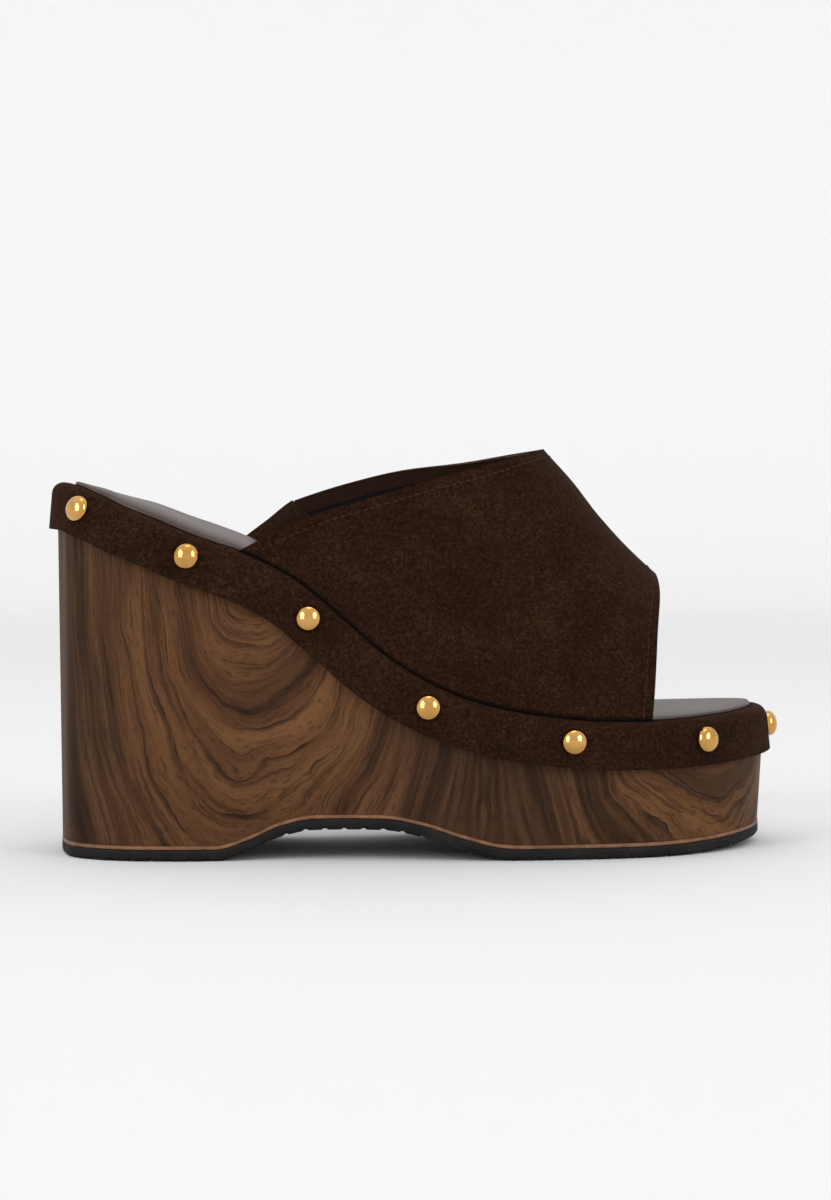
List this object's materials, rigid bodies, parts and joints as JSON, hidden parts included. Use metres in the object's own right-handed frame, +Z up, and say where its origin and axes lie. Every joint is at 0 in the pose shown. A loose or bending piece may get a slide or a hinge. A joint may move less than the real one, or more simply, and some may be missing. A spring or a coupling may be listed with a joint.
{
  "type": "platform mule shoe",
  "caption": "Slip-on platform mule for the right foot: high wood-look wedge, studded suede-wrapped footbed, wide suede vamp with an elastic gore, open heel and toe.",
  "frame": {"origin": "on the floor, under the middle of the shoe's bounding box", "axes": "+X from the heel to the toe, +Y to the medial side, +Z up"},
  "size_m": [0.2384, 0.0947, 0.1313],
  "materials": {
    "outsole_rubber": "matte black rubber",
    "tan_layer": "smooth tan edge",
    "wood_print": "satin printed wood grain",
    "suede": "dark brown suede nap",
    "insole_leather": "smooth satin leather",
    "elastic": "ribbed elastic",
    "gold_metal": "polished warm gold"
  },
  "bodies": {
    "root": {"outsole": "outsole_rubber", "edge_layer": "tan_layer", "wedge": "wood_print", "rand": "suede", "insole": "insole_leather", "vamp": "suede", "gore": "elastic", "stud_01": "gold_metal", "stud_02": "gold_metal", "stud_03": "gold_metal", "stud_04": "gold_metal", "stud_05": "gold_metal", "stud_06": "gold_metal", "stud_07": "gold_metal", "stud_08": "gold_metal", "stud_09": "gold_metal", "stud_10": "gold_metal", "stud_11": "gold_metal", "stud_12": "gold_metal", "stud_13": "gold_metal"}
  },
  "joints": []
}
